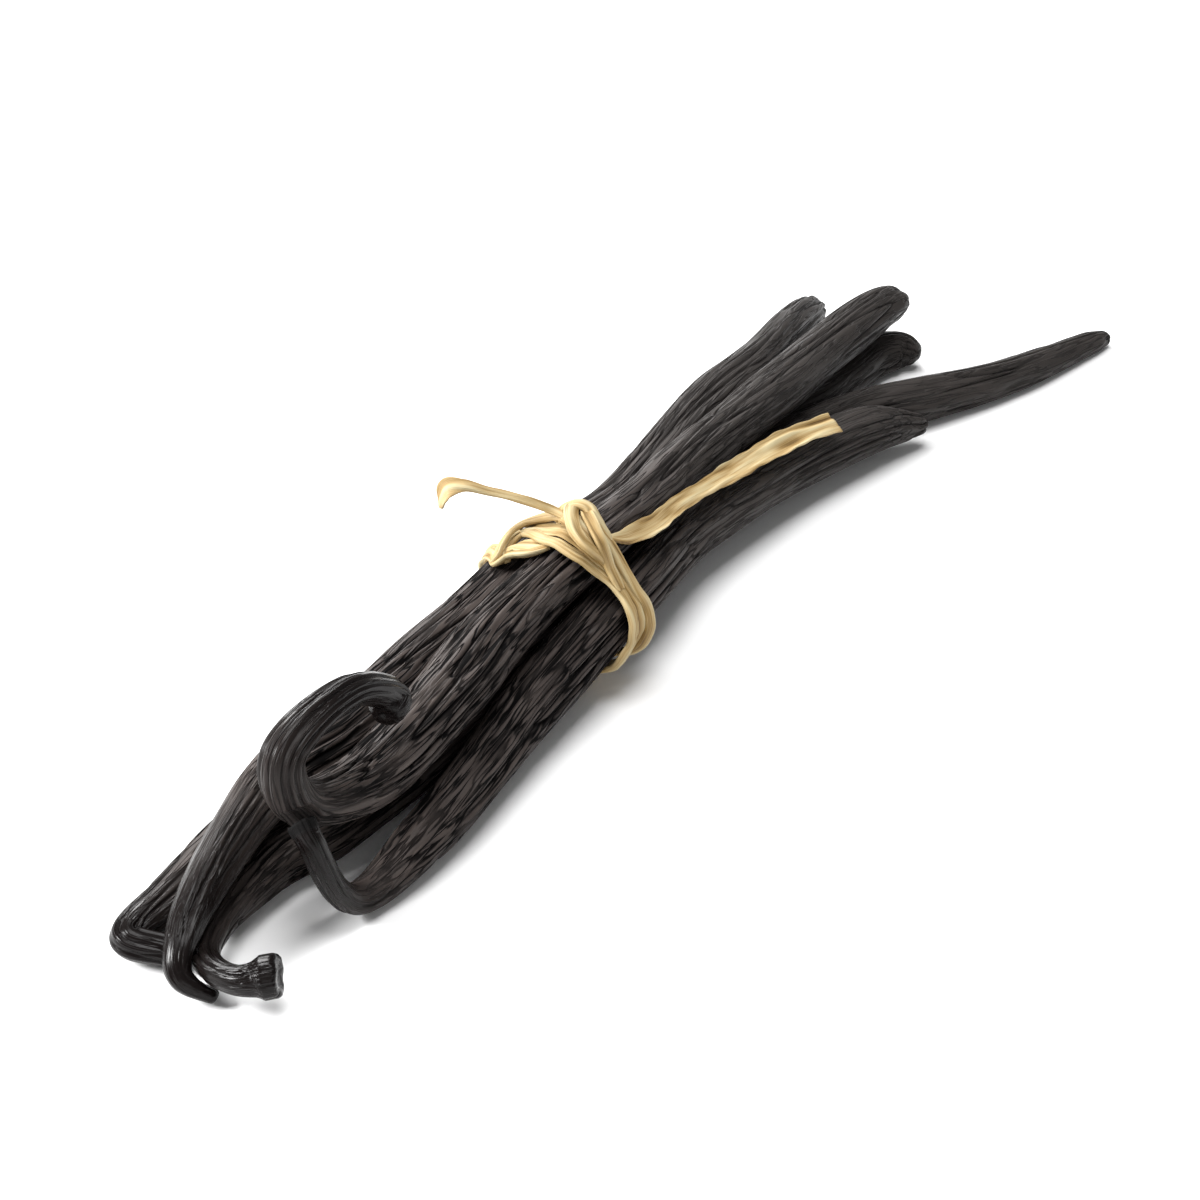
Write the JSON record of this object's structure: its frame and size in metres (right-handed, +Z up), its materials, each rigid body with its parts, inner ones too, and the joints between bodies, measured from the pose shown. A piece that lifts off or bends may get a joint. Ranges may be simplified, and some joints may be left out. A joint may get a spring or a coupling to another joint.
{
  "type": "bundle of vanilla pods",
  "caption": "Bundle of cured vanilla pods with curled stem ends, tied round the middle with a knotted strand of raffia.",
  "frame": {"origin": "bottom centre of the bundle's box, on the surface it rests on", "axes": "+X along the bundle from the curled stem ends to the tapered tips, +Y to the left as seen from the stem ends, +Z up"},
  "size_m": [0.1745, 0.0383, 0.0237],
  "materials": {
    "pod_right_skin": "satin, oily, wrinkled",
    "pod_top_skin": "satin, oily, wrinkled",
    "pod_left_skin": "satin, oily, wrinkled",
    "pod_under_skin": "satin, oily, wrinkled",
    "pod_far_left_skin": "satin, oily, wrinkled",
    "raffia": "matte, dry leaf fibre"
  },
  "bodies": {
    "root": {"pod_right": "pod_right_skin", "pod_top": "pod_top_skin", "pod_left": "pod_left_skin", "pod_under": "pod_under_skin", "pod_far_left": "pod_far_left_skin", "raffia_tie": "raffia"}
  },
  "joints": []
}
